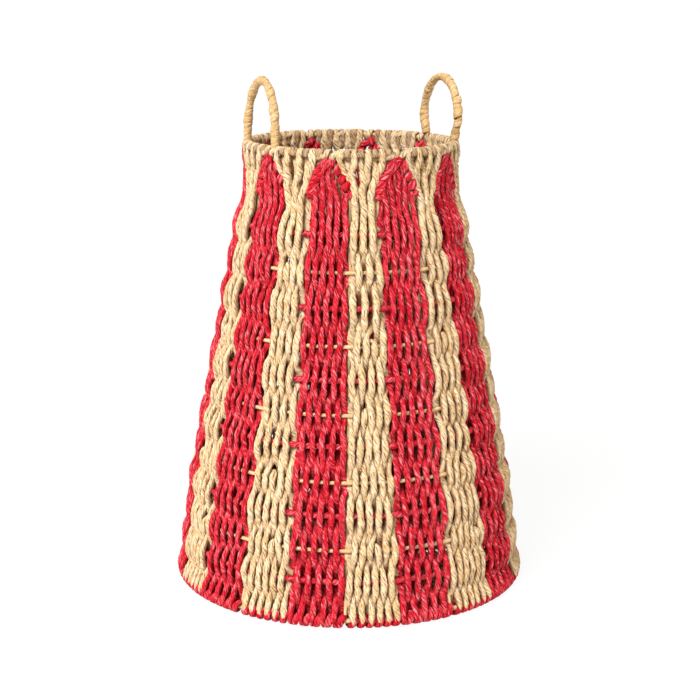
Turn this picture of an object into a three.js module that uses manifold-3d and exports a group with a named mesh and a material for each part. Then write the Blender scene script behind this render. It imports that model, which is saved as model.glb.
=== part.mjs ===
// Storage basket of twisted paper rope on a wire frame, with two loop handles.
// Millimetres, +Z up. The origin is the centre of the foot, on the floor. The handles are on -X and +X.

import * as THREE from "three";
import { mergeVertices } from "three/addons/utils/BufferGeometryUtils.js";
import Module from "manifold-3d";

const wasm = await Module();
wasm.setup();

// Driving sizes

// Room left between two pieces that touch or that are wound round each other.
const clearance = 0.3;

// Red and natural stripes take turns round the wall, and each pair of stripes has one bent wire.
const stripePairs = 10;

// How far round the wall a red stripe reaches, in degrees. The natural stripes take the rest.
const redStripeAngle = 20.6;

// The outside of the wall. The neck is measured down from the rim, and the shoulder's slope from
// the foot of the neck.
const rimHeight = 380;
const neckLength = 48;
const shoulderLength = 18;
const kneeHeight = 80;
const rimRadius = 91.8;
const neckRadius = 92.9;
const shoulderRadius = 100.4;
const kneeRadius = 143;
const footRadius = 152.6;

// Rope and wire thicknesses. The rope is squeezed a little where it crosses a hoop.
const ropeDiameter = 5;
const ropeSqueeze = 1.6;
const redHoopDiameter = 4.6;
const naturalHoopDiameter = 2.8;
const ribDiameter = 2.8;
const topRingDiameter = 4;
const bottomRingDiameter = 4;
const crossWireDiameter = 3;
const handleWireDiameter = 4;

// Level hoops inside the woven wall. The first is red, and the colours take turns. The last is a
// little below the shoulder, and each space between two is a little wider than the one below it.
const hoopCount = 11;
const firstHoopHeight = 37.6;
const lastHoopDrop = 1;
const hoopSpaceGrowth = 0.31;

// The pointed arch that joins the two ribs of a red stripe. It starts this far below the rim, and
// bulges by its one control point.
const archLength = 35;
const archBulgeHeight = 19;
const archBulgeShare = 0.58;

// Bindings round the two rings.
const rimBindingHeight = 8.5;
const rimBindingWall = 1.7;
const baseBindingHeight = 11;
const bindingBevel = 1.6;

// The woven floor hangs this far clear of the ground.
const floorBottom = 1;

// Handles. The middle of each is at its angle round the rim, and its two legs stand at the leg angle
// to either side. The legs rise by the straight, and spread by the bulge as a share of their span.
// An arch joins them. Its top leans in over the mouth by the lean, or out where that is negative.
const handleRise = 51;
const leftHandle = { angle: 180, legAngle: 20, straight: 9, bulge: 0, lean: 1.5 };
const rightHandle = { angle: -6, legAngle: 21.5, straight: 17, bulge: 0.2, lean: -1.5 };

// The flat paper strip wound round a handle wire.
const stripThickness = 1.1;
const stripTurns = 22;
const stripGap = 0.6;
const stripPlay = 0.5;

// Facet counts
const wallFacets = 4 * stripePairs;
const hoopFacets = 2 * stripePairs;
const wireSides = 6;
const ribSides = 5;
const hoopSides = 4;
const archSteps = 4;
const stripStepsPerTurn = 8;
const legSteps = 3;
const handleSteps = 16;

// Sizes that follow

const neckHeight = rimHeight - neckLength;
const shoulderHeight = neckHeight - shoulderLength;
const lastHoopHeight = shoulderHeight - lastHoopDrop;
const hoopSpaces = hoopCount - 1;
const evenHoopSpace = (lastHoopHeight - firstHoopHeight) / hoopSpaces;
const firstHoopSpace = evenHoopSpace - (hoopSpaceGrowth * (hoopSpaces - 1)) / 2;
const archShoulderHeight = rimHeight - archLength;
const stripeAngle = Math.PI / stripePairs;
const halfRedStripe = degrees(redStripeAngle) / 2;
const floorThickness = 2 * ropeDiameter;
const ringCentreHeight = floorBottom + floorThickness / 2;
const rimBindingWidth = topRingDiameter + 2 * (clearance + rimBindingWall);
const wallThickness = 2 * ropeDiameter + redHoopDiameter - ropeSqueeze;
const wallBottom = baseBindingHeight + clearance;
const wallTop = rimHeight - rimBindingHeight - clearance;
const ribSetback = (redHoopDiameter + ribDiameter) / 2 + 2 * clearance;
const slotWidth = ribDiameter + 2 * clearance;
const topRingHeight = rimHeight - rimBindingWall - clearance - topRingDiameter / 2;
const archTopHeight = topRingHeight - (topRingDiameter + ribDiameter) / 2 - clearance;

// Cutting shapes start well inside the wall and end well outside it.
const cutInside = rimRadius / 2;
const cutOutside = 2 * footRadius;
const mergeDistance = 1e-4;

const outsideProfile = [
  [0, footRadius],
  [kneeHeight, kneeRadius],
  [shoulderHeight, shoulderRadius],
  [neckHeight, neckRadius],
  [rimHeight, rimRadius],
];

const colours = {
  red: 0xc8283a,
  natural: 0xdcc08a,
};

// Geometry helpers

function degrees(angle) {
  return (angle * Math.PI) / 180;
}

// A value between the stations of a list of [position, value], straight from one to the next.
function between(stations, position) {
  let upper = stations.findIndex(([at]) => at > position);
  if (upper < 0) upper = stations.length - 1;
  if (upper === 0) upper = 1;
  const [lowAt, lowValue] = stations[upper - 1];
  const [highAt, highValue] = stations[upper];
  const share = (position - lowAt) / (highAt - lowAt);
  return lowValue + share * (highValue - lowValue);
}

function outerRadius(height) {
  return between(outsideProfile, height);
}

// The wall is full thickness up to the shoulder and thins to the rim's width.
function thicknessAt(height) {
  const stations = [
    [0, wallThickness],
    [shoulderHeight, wallThickness],
    [neckHeight, (wallThickness + rimBindingWidth) / 2],
    [rimHeight, rimBindingWidth],
  ];
  return between(stations, height);
}

// The middle of the wall, where the rings and hoops run. The rim binding stands over it.
function middleRadius(height) {
  return outerRadius(height) - thicknessAt(height) / 2;
}

function onCircle(radius, angle, height) {
  return new THREE.Vector3(
    radius * Math.cos(angle),
    radius * Math.sin(angle),
    height,
  );
}

// A solid of revolution about Z from [radius, height] corners, which go round the section clockwise.
function revolve(corners, facets, startAngle = 0) {
  const profile = corners.map(([radius, height]) => new THREE.Vector2(radius, height));
  profile.push(profile[0].clone());
  const lathe = new THREE.LatheGeometry(profile, facets, startAngle + Math.PI / 2);
  return lathe.rotateX(Math.PI / 2);
}

// Corners of a regular section round a point of the radius and height plane.
function sectionCorners(radius, height, diameter, sides) {
  const turn = Math.PI / sides;
  return Array.from({ length: sides }, (_, side) => {
    const angle = turn + (side * 2 * Math.PI) / sides;
    const reach = diameter / 2;
    return [radius + reach * Math.cos(angle), height + reach * Math.sin(angle)];
  });
}

// Corners of an upright rectangle in the radius and height plane.
function boxCorners(innerRadius, outerEdge, low, high) {
  return [
    [innerRadius, low],
    [outerEdge, low],
    [outerEdge, high],
    [innerRadius, high],
  ];
}

// A wire's centre line: straight from station to station, with a tangent that halves each bend.
class StationLine extends THREE.Curve {
  constructor(stations) {
    super();
    this.stations = stations;
  }

  getPoint(t, target = new THREE.Vector3()) {
    const last = this.stations.length - 1;
    const start = Math.min(Math.floor(t * last), last - 1);
    return target.lerpVectors(this.stations[start], this.stations[start + 1], t * last - start);
  }

  getTangent(t, target = new THREE.Vector3()) {
    const last = this.stations.length - 1;
    const here = Math.round(t * last);
    const before = this.stations[Math.max(here - 1, 0)];
    const at = this.stations[here];
    const after = this.stations[Math.min(here + 1, last)];
    const into = new THREE.Vector3().subVectors(at, before).normalize();
    const outOf = new THREE.Vector3().subVectors(after, at).normalize();
    return target.addVectors(into, outOf).normalize();
  }

  getUtoTmapping(u) {
    return u;
  }
}

function wireAlong(stations, diameter, sides) {
  const section = new THREE.Shape(
    Array.from({ length: sides }, (_, side) => {
      const angle = (side * 2 * Math.PI) / sides;
      return new THREE.Vector2(Math.cos(angle), Math.sin(angle)).multiplyScalar(diameter / 2);
    }),
  );
  return new THREE.ExtrudeGeometry(section, {
    steps: stations.length - 1,
    extrudePath: new StationLine(stations),
  });
}

// A closed body between rings of points that match one to one, with flat ends.
function loft(rings) {
  const sides = rings[0].length;
  const positions = rings.flat().flatMap((point) => point.toArray());
  const index = [];
  for (let ring = 0; ring + 1 < rings.length; ring += 1) {
    for (let side = 0; side < sides; side += 1) {
      const a = ring * sides + side;
      const b = ring * sides + ((side + 1) % sides);
      index.push(a, b, b + sides, a, b + sides, a + sides);
    }
  }
  const lastRing = (rings.length - 1) * sides;
  const outline = endOutline(rings[0]);
  for (const [a, b, c] of THREE.ShapeUtils.triangulateShape(outline, [])) {
    index.push(c, b, a);
    index.push(lastRing + a, lastRing + b, lastRing + c);
  }
  const body = new THREE.BufferGeometry();
  body.setAttribute("position", new THREE.Float32BufferAttribute(positions, 3));
  body.setIndex(signedVolume(positions, index) < 0 ? index.reverse() : index);
  return body;
}

// Negative where the faces point inwards.
function signedVolume(positions, index) {
  const corner = (at) => new THREE.Vector3().fromArray(positions, 3 * index[at]);
  let volume = 0;
  for (let at = 0; at < index.length; at += 3) {
    volume += corner(at).dot(corner(at + 1).cross(corner(at + 2))) / 6;
  }
  return volume;
}

// A flat ring of points in its own plane, as the two-dimensional outline that ends are filled by.
function endOutline(ring) {
  const normal = new THREE.Vector3();
  ring.forEach((point, at) => {
    normal.add(new THREE.Vector3().crossVectors(point, ring[(at + 1) % ring.length]));
  });
  normal.normalize();
  const across = new THREE.Vector3().subVectors(ring[1], ring[0]).normalize();
  const upward = new THREE.Vector3().crossVectors(normal, across);
  return ring.map((point) => new THREE.Vector2(point.dot(across), point.dot(upward)));
}

// Boolean helpers

function solidOf(geometry) {
  const bare = geometry.clone();
  bare.deleteAttribute("normal");
  bare.deleteAttribute("uv");
  const merged = mergeVertices(bare, mergeDistance);
  return new wasm.Manifold(
    new wasm.Mesh({
      numProp: 3,
      vertProperties: new Float32Array(merged.attributes.position.array),
      triVerts: new Uint32Array(merged.index.array),
    }),
  );
}

function geometryOf(solid) {
  const mesh = solid.getMesh();
  const indexed = new THREE.BufferGeometry();
  indexed.setAttribute("position", new THREE.BufferAttribute(mesh.vertProperties, 3));
  indexed.setIndex(new THREE.BufferAttribute(mesh.triVerts, 1));
  const flat = indexed.toNonIndexed();
  flat.computeVertexNormals();
  return flat;
}

// Frame: rings, hoops and bent wires

function hoopHeight(hoop) {
  const widened = (hoopSpaceGrowth * hoop * (hoop - 1)) / 2;
  return firstHoopHeight + hoop * firstHoopSpace + widened;
}

function hoopIsRed(hoop) {
  return hoop % 2 === 0;
}

function hoopDiameter(hoop) {
  return hoopIsRed(hoop) ? redHoopDiameter : naturalHoopDiameter;
}

// A hoop has a corner near each rib, and the wall's channel for it has the same corners.
function hoopGeometry(hoop) {
  const height = hoopHeight(hoop);
  const corners = sectionCorners(middleRadius(height), height, hoopDiameter(hoop), hoopSides);
  return revolve(corners, hoopFacets, stripeAngle / 2);
}

function hoopChannel(hoop) {
  const height = hoopHeight(hoop);
  const reach = hoopDiameter(hoop) / 2 / Math.SQRT2 + clearance;
  const radius = middleRadius(height);
  const corners = boxCorners(radius - reach, radius + reach, height - reach, height + reach);
  return revolve(corners, hoopFacets, stripeAngle / 2);
}

function topRingGeometry() {
  const corners = sectionCorners(
    middleRadius(topRingHeight),
    topRingHeight,
    topRingDiameter,
    wireSides,
  );
  return revolve(corners, wallFacets);
}

function bottomRingGeometry() {
  const corners = sectionCorners(
    middleRadius(ringCentreHeight),
    ringCentreHeight,
    bottomRingDiameter,
    wireSides,
  );
  return revolve(corners, wallFacets);
}

// One side of a red stripe's arch, from its shoulder to just below its point: [angle, height] pairs.
function archSide() {
  const bulge = [halfRedStripe * archBulgeShare, archShoulderHeight + archBulgeHeight];
  const side = new THREE.QuadraticBezierCurve(
    new THREE.Vector2(halfRedStripe, archShoulderHeight),
    new THREE.Vector2(...bulge),
    new THREE.Vector2(0, archTopHeight),
  );
  return side.getPoints(archSteps).map((point) => [point.x, point.y]);
}

// A rib runs inside the hoops, and meets the rings in the middle of the wall at its two ends.
function ribRadius(height) {
  return middleRadius(height) - ribSetback;
}

function bentWireStations(centreAngle) {
  const footHeight = ringCentreHeight + bottomRingDiameter / 2 + clearance;
  const belowHoops = firstHoopHeight - redHoopDiameter;
  const aboveHoops = Math.max(shoulderHeight, lastHoopHeight + redHoopDiameter);
  const leg = [
    [middleRadius(ringCentreHeight), footHeight],
    [ribRadius(belowHoops), belowHoops],
    [ribRadius(kneeHeight), kneeHeight],
    [ribRadius(aboveHoops), aboveHoops],
  ];
  const arch = archSide();
  const sideAt = (way) => [
    ...leg.map(([radius, height]) => onCircle(radius, centreAngle + way * halfRedStripe, height)),
    ...arch.map(([angle, height]) =>
      onCircle(middleRadius(height), centreAngle + way * angle, height),
    ),
  ];
  return [...sideAt(1), ...sideAt(-1).slice(0, -1).reverse()];
}

function bentWireGeometry(centreAngle) {
  return wireAlong(bentWireStations(centreAngle), ribDiameter, ribSides);
}

// Five wires crossed and joined at the middle of the floor, with their ends at the bottom ring.
function crossArms(diameter, reach) {
  const arms = Array.from({ length: stripePairs / 2 }, (_, wire) => {
    const angle = wire * 2 * stripeAngle;
    const ends = [
      onCircle(reach, angle, ringCentreHeight),
      onCircle(reach, angle + Math.PI, ringCentreHeight),
    ];
    return solidOf(wireAlong(ends, diameter, wireSides));
  });
  return arms.reduce((joined, arm) => joined.add(arm));
}

function crossReach() {
  const ringInside = middleRadius(ringCentreHeight) - bottomRingDiameter / 2;
  return ringInside * Math.cos(Math.PI / wallFacets) - clearance;
}

// Woven wall: one closed panel for each stripe, with channels that the hoops run through

function wallSolid() {
  const bends = outsideProfile
    .map(([height]) => height)
    .filter((height) => height > wallBottom && height < wallTop);
  const heights = [wallBottom, ...bends, wallTop];
  const outside = heights.map((height) => [outerRadius(height), height]);
  const inside = heights.map((height) => [outerRadius(height) - thicknessAt(height), height]);
  let wall = solidOf(revolve([...outside, ...inside.reverse()], wallFacets));
  for (let hoop = 0; hoop < hoopCount; hoop += 1) {
    wall = wall.subtract(solidOf(hoopChannel(hoop)));
  }
  return wall;
}

// How far each corner of an outline moves when its edges move out by a distance.
function cornerShifts(outline, distance) {
  const count = outline.length;
  const outwardOf = (from, to) => new THREE.Vector2(to.y - from.y, from.x - to.x).normalize();
  return outline.map((corner, at) => {
    const before = outwardOf(outline[(at + count - 1) % count], corner);
    const after = outwardOf(corner, outline[(at + 1) % count]);
    const middle = new THREE.Vector2().addVectors(before, after).normalize();
    return middle.multiplyScalar(distance / middle.dot(after));
  });
}

// The space of a red stripe up to its arch, with its edges moved out by growth. The sides are
// radial, so the stripe widens with the wall, while growth stays the same all over.
function redSpace(centreAngle, growth) {
  const referenceRadius = middleRadius(archShoulderHeight);
  const right = archSide().map(
    ([angle, height]) => new THREE.Vector2(referenceRadius * Math.tan(angle), height),
  );
  right.unshift(new THREE.Vector2(right[0].x, -rimHeight));
  const left = right
    .slice(0, -1)
    .reverse()
    .map((corner) => new THREE.Vector2(-corner.x, corner.y));
  const outline = [...right, ...left];
  const shifts = cornerShifts(outline, growth);
  const ringAt = (radius) =>
    outline.map((corner, at) =>
      new THREE.Vector3(
        radius,
        (corner.x * radius) / referenceRadius + shifts[at].x,
        corner.y + shifts[at].y,
      ).applyAxisAngle(new THREE.Vector3(0, 0, 1), centreAngle),
    );
  // The middle two rings keep the arch true where it cuts the wall of the neck.
  const reach = wallThickness / 2;
  const radii = [cutInside, referenceRadius - reach, referenceRadius + reach, cutOutside];
  return solidOf(loft(radii.map(ringAt)));
}

// The space of a natural stripe with half of each red stripe beside it.
function naturalSpace(centreAngle) {
  const spread = Math.tan(stripeAngle);
  const cornersAt = (height) =>
    [
      [cutInside, -cutInside * spread + clearance],
      [cutOutside, -cutOutside * spread + clearance],
      [cutOutside, cutOutside * spread - clearance],
      [cutInside, cutInside * spread - clearance],
    ].map(([along, across]) =>
      new THREE.Vector3(along, across, height).applyAxisAngle(
        new THREE.Vector3(0, 0, 1),
        centreAngle,
      ),
    );
  return solidOf(loft([cornersAt(-rimHeight), cornersAt(2 * rimHeight)]));
}

function redPanel(wall, centreAngle) {
  return geometryOf(wall.intersect(redSpace(centreAngle, -slotWidth / 2)));
}

function naturalPanel(wall, centreAngle) {
  const before = redSpace(centreAngle - stripeAngle, slotWidth / 2);
  const after = redSpace(centreAngle + stripeAngle, slotWidth / 2);
  return geometryOf(
    wall.intersect(naturalSpace(centreAngle)).subtract(before).subtract(after),
  );
}

// Bindings and floor

// An upturned channel over the top ring, open below for the arches, with a hole for each handle leg.
function rimBindingGeometry() {
  const low = rimHeight - rimBindingHeight;
  const roof = rimHeight - rimBindingWall;
  const inside = middleRadius(topRingHeight) - rimBindingWidth / 2;
  const outside = inside + rimBindingWidth;
  const corners = [
    [inside, low],
    [inside + rimBindingWall, low],
    [inside + rimBindingWall, roof],
    [outside - rimBindingWall, roof],
    [outside - rimBindingWall, low],
    [outside, low],
    [outside, rimHeight - bindingBevel],
    [outside - bindingBevel, rimHeight],
    [inside + bindingBevel, rimHeight],
    [inside, rimHeight - bindingBevel],
  ];
  let binding = solidOf(revolve(corners, wallFacets));
  for (const handle of [leftHandle, rightHandle]) {
    for (const side of [-1, 1]) {
      const leg = handleLeg(handle, side);
      const hole = wireAlong(
        [
          new THREE.Vector3(leg.x, leg.y, topRingHeight),
          new THREE.Vector3(leg.x, leg.y, rimHeight + rimBindingHeight),
        ],
        handleWireDiameter + 2 * clearance,
        wireSides,
      );
      binding = binding.subtract(solidOf(hole));
    }
  }
  return geometryOf(binding);
}

// Rope under and outside the bottom ring, with a flat underside. The ribs come to the ring from
// above, and the wires under the floor from inside.
function baseBindingGeometry() {
  const outside = footRadius;
  const inside = footRadius - wallThickness;
  const seatHeight = ringCentreHeight - bottomRingDiameter / 2 - clearance;
  const ringOutside = middleRadius(ringCentreHeight) + bottomRingDiameter / 2 + clearance;
  const corners = [
    [inside, 0],
    [outside - bindingBevel, 0],
    [outside, bindingBevel],
    [outerRadius(baseBindingHeight), baseBindingHeight],
    [ringOutside, baseBindingHeight],
    [ringOutside, seatHeight],
    [inside, seatHeight],
  ];
  return revolve(corners, wallFacets);
}

// A woven disc round the crossed wires.
function floorGeometry() {
  const edge = footRadius - wallThickness - clearance;
  const corners = [
    [0, floorBottom],
    [edge - bindingBevel, floorBottom],
    [edge, floorBottom + bindingBevel],
    [edge, floorBottom + floorThickness - bindingBevel],
    [edge - bindingBevel, floorBottom + floorThickness],
    [0, floorBottom + floorThickness],
  ];
  const disc = solidOf(revolve(corners, wallFacets));
  return geometryOf(disc.subtract(crossArms(crossWireDiameter + 2 * clearance, footRadius)));
}

// Handles

// A leg stands on the top ring.
function handleLeg(handle, side) {
  const angle = degrees(handle.angle + side * handle.legAngle);
  const footHeight = topRingHeight + topRingDiameter / 2 + clearance;
  return onCircle(middleRadius(topRingHeight), angle, footHeight);
}

// A handle's centre line, as points: upright through the rim binding, then spreading legs, and a
// half ellipse over them.
function handleStations(handle) {
  const start = handleLeg(handle, -1);
  const end = handleLeg(handle, 1);
  const middle = new THREE.Vector3().addVectors(start, end).divideScalar(2);
  const halfSpan = new THREE.Vector3().subVectors(end, start).divideScalar(2);
  const inward = new THREE.Vector3(-middle.x, -middle.y, 0).normalize();
  // spread is 1 over the feet, and -1 to 1 from one leg to the other.
  const stationAt = (spread, rise) =>
    new THREE.Vector3()
      .copy(middle)
      .addScaledVector(halfSpan, spread)
      .addScaledVector(inward, (handle.lean * rise) / handleRise)
      .setZ(rimHeight + rise);
  const leg = (side, step) => {
    const share = step / (legSteps + 1);
    const bulge = (handle.bulge * (1 - Math.cos(share * Math.PI))) / 2;
    return stationAt(side * (1 + bulge), handle.straight * share);
  };
  const up = Array.from({ length: legSteps }, (_, step) => leg(-1, step + 1));
  const down = Array.from({ length: legSteps }, (_, step) => leg(1, legSteps - step));
  const arch = Array.from({ length: handleSteps + 1 }, (_, step) => {
    const angle = Math.PI * (1 - step / handleSteps);
    const rise = handle.straight + (handleRise - handle.straight) * Math.sin(angle);
    return stationAt((1 + handle.bulge) * Math.cos(angle), rise);
  });
  const overRim = (foot) => foot.clone().setZ(rimHeight + stripGap);
  return [start, overRim(start), ...up, ...arch, ...down, overRim(end), end];
}

function handleWireGeometry(handle) {
  return wireAlong(handleStations(handle), handleWireDiameter, wireSides);
}

// The strip's sections above the rim, from one end to the other, each of four corners. A corner is
// placed by how far along the wire it is, its angle round the wire and its reach from the wire's
// centre.
function handleStripRings(handle) {
  const stations = handleStations(handle).slice(1, -1);
  const line = new THREE.CatmullRomCurve3(stations, false, "centripetal");
  const length = line.getLength();
  const pitch = length / (stripTurns + 1);
  const width = pitch - stripGap;
  const across = new THREE.Vector3()
    .subVectors(stations[stations.length - 1], stations[0])
    .normalize();
  const outOfPlane = new THREE.Vector3().crossVectors(across, new THREE.Vector3(0, 0, 1));
  const nearReach = handleWireDiameter / 2 + stripPlay;
  const farReach = nearReach + stripThickness;
  const edgePoint = (along, angle, reach) => {
    const share = THREE.MathUtils.clamp(along / length, 0, 1);
    const tangent = line.getTangentAt(share);
    const inPlane = new THREE.Vector3().crossVectors(outOfPlane, tangent).normalize();
    return line
      .getPointAt(share)
      .addScaledVector(inPlane, reach * Math.cos(angle))
      .addScaledVector(outOfPlane, reach * Math.sin(angle));
  };
  const steps = stripTurns * stripStepsPerTurn;
  return Array.from({ length: steps + 1 }, (_, step) => {
    const turn = step / stripStepsPerTurn;
    const angle = turn * 2 * Math.PI;
    const low = pitch * turn + stripGap / 2;
    return [
      edgePoint(low, angle, nearReach),
      edgePoint(low, angle, farReach),
      edgePoint(low + width, angle, farReach),
      edgePoint(low + width, angle, nearReach),
    ];
  });
}

// The least distance between a turn's upper edge and the next turn's lower edge.
function leastTurnGap(rings) {
  let least = Infinity;
  for (let at = 0; at + stripStepsPerTurn < rings.length; at += 1) {
    const [, , upperFar, upperNear] = rings[at];
    const [lowerNear, lowerFar] = rings[at + stripStepsPerTurn];
    least = Math.min(least, upperFar.distanceTo(lowerFar), upperNear.distanceTo(lowerNear));
  }
  return least;
}

function handleStripGeometry(handle, label) {
  const rings = handleStripRings(handle);
  console.log(`${label}: least gap between turns ${leastTurnGap(rings).toFixed(2)} mm`);
  return loft(rings);
}

// Assembly

const paint = {
  natural: { color: colours.natural, roughness: 0.85, metalness: 0 },
  red: { color: colours.red, roughness: 0.8, metalness: 0 },
};

const basket = new THREE.Group();

function addPiece(name, geometry, finish) {
  const mesh = new THREE.Mesh(geometry, new THREE.MeshStandardMaterial(paint[finish]));
  mesh.name = name;
  basket.add(mesh);
}

function numbered(name, index) {
  return `${name}_${String(index + 1).padStart(2, "0")}`;
}

addPiece("bottom_ring", bottomRingGeometry(), "natural");
addPiece("top_ring", topRingGeometry(), "natural");
addPiece("floor_cross", geometryOf(crossArms(crossWireDiameter, crossReach())), "natural");

let redHoops = 0;
let naturalHoops = 0;
for (let hoop = 0; hoop < hoopCount; hoop += 1) {
  if (hoopIsRed(hoop)) {
    addPiece(numbered("red_hoop", redHoops), hoopGeometry(hoop), "red");
    redHoops += 1;
  } else {
    addPiece(numbered("natural_hoop", naturalHoops), hoopGeometry(hoop), "natural");
    naturalHoops += 1;
  }
}

const wall = wallSolid();
for (let pair = 0; pair < stripePairs; pair += 1) {
  const naturalCentre = pair * 2 * stripeAngle;
  const redCentre = naturalCentre + stripeAngle;
  addPiece(numbered("bent_wire", pair), bentWireGeometry(redCentre), "natural");
  addPiece(numbered("red_stripe", pair), redPanel(wall, redCentre), "red");
  addPiece(numbered("natural_stripe", pair), naturalPanel(wall, naturalCentre), "natural");
}

addPiece("rim_binding", rimBindingGeometry(), "natural");
addPiece("base_binding", baseBindingGeometry(), "red");
addPiece("floor_weave", floorGeometry(), "natural");
addPiece("left_handle_wire", handleWireGeometry(leftHandle), "natural");
addPiece("right_handle_wire", handleWireGeometry(rightHandle), "natural");
addPiece("left_handle_wrap", handleStripGeometry(leftHandle, "left_handle_wrap"), "natural");
addPiece("right_handle_wrap", handleStripGeometry(rightHandle, "right_handle_wrap"), "natural");

export default basket;
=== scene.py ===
"""A tall storage basket of woven paper rope, with red and natural stripes and two loop handles.

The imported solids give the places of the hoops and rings. Every rope, hoop and winding is modelled
here as the twisted or wound piece that it is.
"""

import math

import bpy
import numpy as np
from mathutils import Matrix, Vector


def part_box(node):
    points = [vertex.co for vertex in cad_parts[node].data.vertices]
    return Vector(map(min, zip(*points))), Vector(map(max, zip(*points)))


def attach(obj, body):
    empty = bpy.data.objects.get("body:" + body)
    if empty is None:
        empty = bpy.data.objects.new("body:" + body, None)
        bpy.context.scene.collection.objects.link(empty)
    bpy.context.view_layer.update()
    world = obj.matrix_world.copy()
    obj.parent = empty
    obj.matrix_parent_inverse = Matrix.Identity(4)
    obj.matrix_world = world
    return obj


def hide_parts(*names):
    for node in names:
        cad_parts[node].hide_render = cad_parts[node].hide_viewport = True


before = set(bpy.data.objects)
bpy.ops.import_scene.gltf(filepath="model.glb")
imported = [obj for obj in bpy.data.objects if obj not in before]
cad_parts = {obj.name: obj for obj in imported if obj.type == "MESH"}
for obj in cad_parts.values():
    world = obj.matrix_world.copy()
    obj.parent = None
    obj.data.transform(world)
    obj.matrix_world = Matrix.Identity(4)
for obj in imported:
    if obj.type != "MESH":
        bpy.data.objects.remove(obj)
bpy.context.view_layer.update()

# The basket's lengths are in millimetres. They become metres when a mesh is made.
MILLIMETRE = 0.001
TURN = 2 * math.pi


def unit(vectors):
    return vectors / np.linalg.norm(vectors, axis=-1, keepdims=True)


def eased(position, start, end):
    """0 before start and 1 after end, with a soft step between them."""
    share = np.clip((position - start) / (end - start), 0, 1)
    return share * share * (3 - 2 * share)


def between(position, start, full, ending, end):
    """1 from full to ending, and 0 before start and after end, with soft steps."""
    return eased(position, start, full) * (1 - eased(position, ending, end))


def node_box(node):
    return np.array(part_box(node)) / MILLIMETRE


def centre_height(node):
    return node_box(node)[:, 2].mean()


def at_lengths(values, along, at):
    """The columns of values, which are given at the lengths along, at the lengths at."""
    return np.stack([np.interp(at, along, column) for column in values.T], -1)


# Sizes of the wall, from the frame where a piece there gives them
PAIRS = sum(name.startswith("red_stripe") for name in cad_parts)
STRIPE = math.pi / PAIRS
RED_ROPES = 10
NATURAL_ROPES = 12
RIM_HEIGHT = node_box("rim_binding")[1][2]
NECK_HEIGHT = RIM_HEIGHT - 48
SHOULDER_HEIGHT = NECK_HEIGHT - 18

# The outside of the wall, as heights and radii. Its ends run past the floor and the rim, because
# it is averaged over PROFILE_ROUNDING.
PROFILE = (
    (-40, 80, SHOULDER_HEIGHT, NECK_HEIGHT, RIM_HEIGHT + 40),
    (157.8, 143.3, 100.7, 92.4, 89.8),
)
PROFILE_ROUNDING = np.linspace(-9, 9, 7)

# Heights from the foot up, and how thick the wall is there
WALL = ((0, SHOULDER_HEIGHT, NECK_HEIGHT, RIM_HEIGHT), (13, 13, 10.5, 8))

BOTTOM_RING_HEIGHT = centre_height("bottom_ring")
TOP_RING_HEIGHT = centre_height("top_ring")
RING_RADIUS = node_box("top_ring")[1][2] - TOP_RING_HEIGHT

# A rib's wire, and how far it is inside the middle of the wall
RIB_RADIUS = 1.4
RIB_SETBACK = 4.3

# The pointed arch over a red stripe. Its sides curve towards the angle and height of the bulge.
ARCH_START = RIM_HEIGHT - 35
ARCH_TOP = node_box("bent_wire_01")[1][2] - RIB_RADIUS
ARCH_BULGE = (math.radians(0.62 * 10.8), ARCH_START + 19)

# Heights from the foot up, and half the degrees between a red stripe's two ribs there
RED_HALF = ((0, 120, ARCH_START), (9.7, 10.25, 10.6))

# The distance between two rings of points on a rope
ROPE_STEP = 1.5

# Half the depth of a rope where it crosses its neighbours or a hoop, and where it is deepest
CROSSING_DEPTH = 1.75
DEEPEST = 2.75

# Half the width of a rope where nothing presses it: heights from the foot up, red and natural
WIDEST_HEIGHTS = (60, 330)
RED_WIDEST = (2.65, 2.4)
NATURAL_WIDEST = (2.85, 3.05)


def outer_radius(height):
    samples = np.asarray(height)[..., None] + PROFILE_ROUNDING
    return np.interp(samples, *PROFILE).mean(-1)


def middle_radius(height):
    return outer_radius(height) - np.interp(height, *WALL) / 2


def red_half(height):
    return np.radians(np.interp(height, *RED_HALF))


def arch_curve(share):
    """Angle from the stripe's middle and height, from the arch's foot at 0 to its point at 1."""
    foot, bulge = (1 - share) ** 2, 2 * share * (1 - share)
    angle = foot * red_half(ARCH_START) + bulge * ARCH_BULGE[0]
    height = foot * ARCH_START + bulge * ARCH_BULGE[1] + share**2 * ARCH_TOP
    return angle, height


def round_points(radius, angle, height):
    return np.stack([radius * np.cos(angle), radius * np.sin(angle), height], -1)


def wall_points(angle, offset, height):
    return round_points(middle_radius(height) + offset, angle, height)


def round_wall(angle):
    return np.stack([-np.sin(angle), np.cos(angle), np.zeros_like(angle)], -1)


def lengths_along(points):
    steps = np.linalg.norm(np.diff(points, axis=0), axis=1)
    return np.concatenate([[0], np.cumsum(steps)])


# The sizes of the waves in a wander, and what brings their sum to about 1 at its most
NOISE_WAVES = (1.0, 0.55, 0.31)
NOISE_SCALE = 1.6


def wander(random, along, wavelength, strength):
    """A smooth noise about 0, of about the strength at its most, along a rope."""
    total = np.zeros_like(along)
    for share in NOISE_WAVES:
        phase = random.uniform(0, TURN)
        total += share * np.sin(TURN * along / (wavelength * share) + phase)
    return strength * total / NOISE_SCALE


# Where the four columns of a sharply folded strand are across it
SHARP_FOLD = np.array([0, 0.17, 0.5, 0.83])

# How far a groove between two strands may be out of its place, as a share of a strand
UNEVEN_STRANDS = 0.26

# How much longer or shorter a turn of the twist may be than asked for
TURN_SPREAD = (0.88, 1.14)

# Folds from this depth up, as a share of the rope, have the full painted shade in their grooves.
DEEP_FOLD = 0.3


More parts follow.
